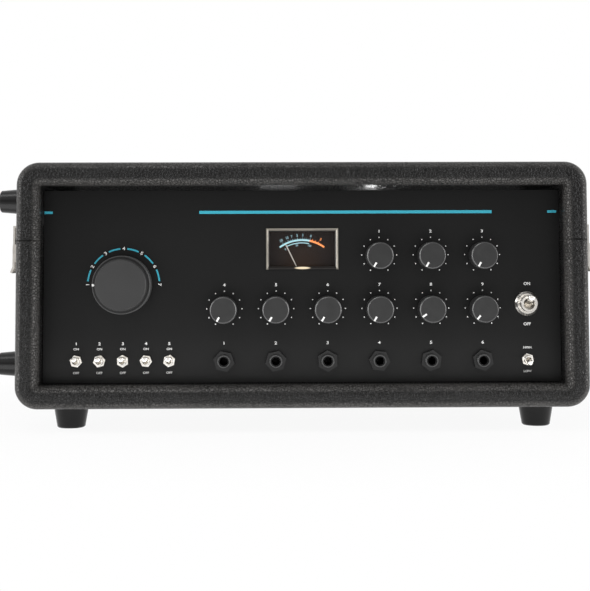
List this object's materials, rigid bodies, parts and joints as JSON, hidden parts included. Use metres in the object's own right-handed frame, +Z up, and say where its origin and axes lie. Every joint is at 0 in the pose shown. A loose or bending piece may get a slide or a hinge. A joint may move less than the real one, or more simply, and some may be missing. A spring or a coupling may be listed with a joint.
{
  "type": "tape echo unit",
  "caption": "Tape echo unit in a black covered case: recessed control panel with knobs, toggle switches, jack sockets and a level meter under a hinged, latched lid.",
  "frame": {"origin": "on the table, under the centre of the whole unit's bounding box", "axes": "+X to the right of the control panel, +Y from the panel to the back, +Z up"},
  "size_m": [0.467, 0.2908, 0.203],
  "materials": {
    "case_covering": "black pebble-grained vinyl covering over plywood",
    "foot_rubber": "moulded black rubber",
    "panel_paint": "satin black paint with white and blue print",
    "knob_plastic": "moulded black plastic",
    "control_body": "pressed cans and phenolic bodies",
    "toggle_plating": "bright nickel plating",
    "switch_body": "nickel bushings on switch bodies",
    "nut_plating": "bright nickel plating",
    "jack_plastic": "moulded black plastic",
    "jack_nut_plastic": "moulded black plastic",
    "meter_bezel": "warm silver-beige moulding",
    "meter_glass": "clear flat pane",
    "meter_dial": "dark brown dial, lit from inside",
    "meter_needle": "thin painted aluminium",
    "chassis_steel": "folded zinc-plated steel",
    "deck_paint": "black painted plate",
    "inlet_plastic": "moulded black plastic with plated blades",
    "handle_strap": "black moulded strap",
    "handle_plating": "nickel-plated pressings",
    "hinge_steel": "nickel-plated steel",
    "latch_plating": "bright nickel plating",
    "tape_oxide": "brown magnetic tape",
    "transport_steel": "turned steel",
    "head_block": "milled aluminium",
    "head_can": "polished head cans",
    "tray_plastic": "moulded black plastic",
    "tray_cover": "clear acrylic sheet",
    "capstan_steel": "ground steel shaft with its flywheel",
    "motor_steel": "drawn steel can",
    "roller_rubber": "ground rubber on its hub",
    "board_laminate": "circuit board with its components",
    "transformer_iron": "laminated core with its winding",
    "tank_steel": "folded steel channel over springs"
  },
  "bodies": {
    "base": {"base_cabinet": "case_covering", "base_side_feet": "foot_rubber", "bottom_feet": "foot_rubber", "capstan_motor": "motor_steel", "chassis_tray": "chassis_steel", "circuit_board": "board_laminate", "deck_plate": "deck_paint", "front_panel": "panel_paint", "handle_end_caps": "handle_plating", "handle_strap": "handle_strap", "head_block": "head_block", "hinge_lower_leaves": "hinge_steel", "jack_nuts": "jack_nut_plastic", "jack_sockets": "jack_plastic", "latch_bases": "latch_plating", "mains_inlet": "inlet_plastic", "meter_case": "meter_bezel", "meter_dial": "meter_dial", "meter_window": "meter_glass", "mode_switch": "control_body", "potentiometers": "control_body", "power_transformer": "transformer_iron", "rear_panel": "deck_paint", "reverb_tank": "tank_steel", "tape_guides": "transport_steel", "tape_heads": "head_can", "tape_loop": "tape_oxide", "tape_tray": "tray_plastic", "toggle_nuts": "nut_plating", "toggle_switches": "switch_body", "tray_cover": "tray_cover"},
    "bass": {"bass_knob": "knob_plastic"},
    "treble": {"treble_knob": "knob_plastic"},
    "feedback": {"feedback_knob": "knob_plastic"},
    "input_volume": {"input_volume_knob": "knob_plastic"},
    "chorus_rate": {"chorus_rate_knob": "knob_plastic"},
    "chorus_depth": {"chorus_depth_knob": "knob_plastic"},
    "reverb_volume": {"reverb_volume_knob": "knob_plastic"},
    "speed": {"speed_knob": "knob_plastic"},
    "echo_volume": {"echo_volume_knob": "knob_plastic"},
    "mode": {"mode_knob": "knob_plastic"},
    "direct_bat": {"direct_toggle": "toggle_plating"},
    "motor_bat": {"motor_toggle": "toggle_plating"},
    "layering_bat": {"layering_toggle": "toggle_plating"},
    "echo_bat": {"echo_toggle": "toggle_plating"},
    "chorus_bat": {"chorus_toggle": "toggle_plating"},
    "output_level_bat": {"output_level_toggle": "toggle_plating"},
    "power_bat": {"power_toggle": "toggle_plating"},
    "left_lever": {"left_latch_lever": "latch_plating"},
    "left_hook": {"left_latch_hook": "latch_plating"},
    "right_lever": {"right_latch_lever": "latch_plating"},
    "right_hook": {"right_latch_hook": "latch_plating"},
    "needle": {"meter_needle": "meter_needle"},
    "capstan": {"capstan": "capstan_steel"},
    "pinch_arm": {"pinch_arm": "transport_steel"},
    "pinch_roller": {"pinch_roller": "roller_rubber"},
    "lid": {"lid_shell": "case_covering", "hinge_upper_leaves": "hinge_steel", "latch_keepers": "latch_plating", "lid_side_feet": "foot_rubber"}
  },
  "joints": [
    {"name": "lid_hinge", "type": "hinge", "parent": "base", "child": "lid", "pos_m": [0, 0.14275, 0.144], "axis": [-1, 0, 0], "range_deg": [0, 100]},
    {"name": "bass_turn", "type": "hinge", "parent": "base", "child": "bass", "pos_m": [0.0586, -0.12345, 0.132], "axis": [0, 1, 0], "range_deg": [0, 300]},
    {"name": "treble_turn", "type": "hinge", "parent": "base", "child": "treble", "pos_m": [0.0982, -0.12345, 0.132], "axis": [0, 1, 0], "range_deg": [0, 300]},
    {"name": "feedback_turn", "type": "hinge", "parent": "base", "child": "feedback", "pos_m": [0.1378, -0.12345, 0.132], "axis": [0, 1, 0], "range_deg": [0, 300]},
    {"name": "input_volume_turn", "type": "hinge", "parent": "base", "child": "input_volume", "pos_m": [-0.0602, -0.12345, 0.0912], "axis": [0, 1, 0], "range_deg": [0, 300]},
    {"name": "chorus_rate_turn", "type": "hinge", "parent": "base", "child": "chorus_rate", "pos_m": [-0.0206, -0.12345, 0.0912], "axis": [0, 1, 0], "range_deg": [0, 300]},
    {"name": "chorus_depth_turn", "type": "hinge", "parent": "base", "child": "chorus_depth", "pos_m": [0.019, -0.12345, 0.0912], "axis": [0, 1, 0], "range_deg": [0, 300]},
    {"name": "reverb_volume_turn", "type": "hinge", "parent": "base", "child": "reverb_volume", "pos_m": [0.0586, -0.12345, 0.0912], "axis": [0, 1, 0], "range_deg": [0, 300]},
    {"name": "speed_turn", "type": "hinge", "parent": "base", "child": "speed", "pos_m": [0.0982, -0.12345, 0.0912], "axis": [0, 1, 0], "range_deg": [-25, 275]},
    {"name": "echo_volume_turn", "type": "hinge", "parent": "base", "child": "echo_volume", "pos_m": [0.1378, -0.12345, 0.0912], "axis": [0, 1, 0], "range_deg": [-10, 290]},
    {"name": "mode_turn", "type": "hinge", "parent": "base", "child": "mode", "pos_m": [-0.1371, -0.12345, 0.1104], "axis": [0, 1, 0], "range_deg": [0, 180]},
    {"name": "direct_switch", "type": "hinge", "parent": "base", "child": "direct_bat", "pos_m": [-0.1726, -0.12685, 0.0524], "axis": [1, 0, 0], "range_deg": [0, 30]},
    {"name": "motor_switch", "type": "hinge", "parent": "base", "child": "motor_bat", "pos_m": [-0.1549, -0.12685, 0.0524], "axis": [1, 0, 0], "range_deg": [0, 30]},
    {"name": "layering_switch", "type": "hinge", "parent": "base", "child": "layering_bat", "pos_m": [-0.1372, -0.12685, 0.0524], "axis": [1, 0, 0], "range_deg": [0, 30]},
    {"name": "echo_switch", "type": "hinge", "parent": "base", "child": "echo_bat", "pos_m": [-0.1195, -0.12685, 0.0524], "axis": [1, 0, 0], "range_deg": [0, 30]},
    {"name": "chorus_switch", "type": "hinge", "parent": "base", "child": "chorus_bat", "pos_m": [-0.1018, -0.12685, 0.0524], "axis": [1, 0, 0], "range_deg": [0, 30]},
    {"name": "output_level_switch", "type": "hinge", "parent": "base", "child": "output_level_bat", "pos_m": [0.172, -0.12685, 0.0524], "axis": [1, 0, 0], "range_deg": [-30, 0]},
    {"name": "power_switch", "type": "hinge", "parent": "base", "child": "power_bat", "pos_m": [0.172, -0.12745, 0.095], "axis": [1, 0, 0], "range_deg": [0, 40]},
    {"name": "left_lever_pull", "type": "hinge", "parent": "base", "child": "left_lever", "pos_m": [-0.21995, -0.11045, 0.138], "axis": [0, 1, 0], "range_deg": [0, 90]},
    {"name": "left_hook_swing", "type": "hinge", "parent": "left_lever", "child": "left_hook", "pos_m": [-0.22075, -0.11045, 0.1315], "axis": [0, 1, 0], "range_deg": [-90, 0]},
    {"name": "right_lever_pull", "type": "hinge", "parent": "base", "child": "right_lever", "pos_m": [0.21995, -0.11045, 0.138], "axis": [0, -1, 0], "range_deg": [0, 90]},
    {"name": "right_hook_swing", "type": "hinge", "parent": "right_lever", "child": "right_hook", "pos_m": [0.22075, -0.11045, 0.1315], "axis": [0, -1, 0], "range_deg": [-90, 0]},
    {"name": "needle_swing", "type": "hinge", "parent": "base", "child": "needle", "pos_m": [-0.0002, -0.1177, 0.115], "axis": [0, 1, 0], "range_deg": [0, 60], "stiffness_Nm_per_rad": 0.00002},
    {"name": "capstan_spin", "type": "hinge", "parent": "base", "child": "capstan", "pos_m": [0.112, -0.05045, 0.14], "axis": [0, 0, 1], "continuous": true},
    {"name": "pinch_arm_swing", "type": "hinge", "parent": "base", "child": "pinch_arm", "pos_m": [0.146, -0.06945, 0.15], "axis": [0, 0, 1], "range_deg": [0, 15], "stiffness_Nm_per_rad": 0.05, "springref_deg": -17.19},
    {"name": "roller_spin", "type": "hinge", "parent": "pinch_arm", "child": "pinch_roller", "pos_m": [0.112, -0.06295, 0.153], "axis": [0, 0, 1], "continuous": true}
  ],
  "couplings": [
    {"joint": "left_hook_swing", "follows": "left_lever_pull", "ratio": -1},
    {"joint": "right_hook_swing", "follows": "right_lever_pull", "ratio": -1},
    {"joint": "roller_spin", "follows": "capstan_spin", "ratio": -0.27778}
  ]
}
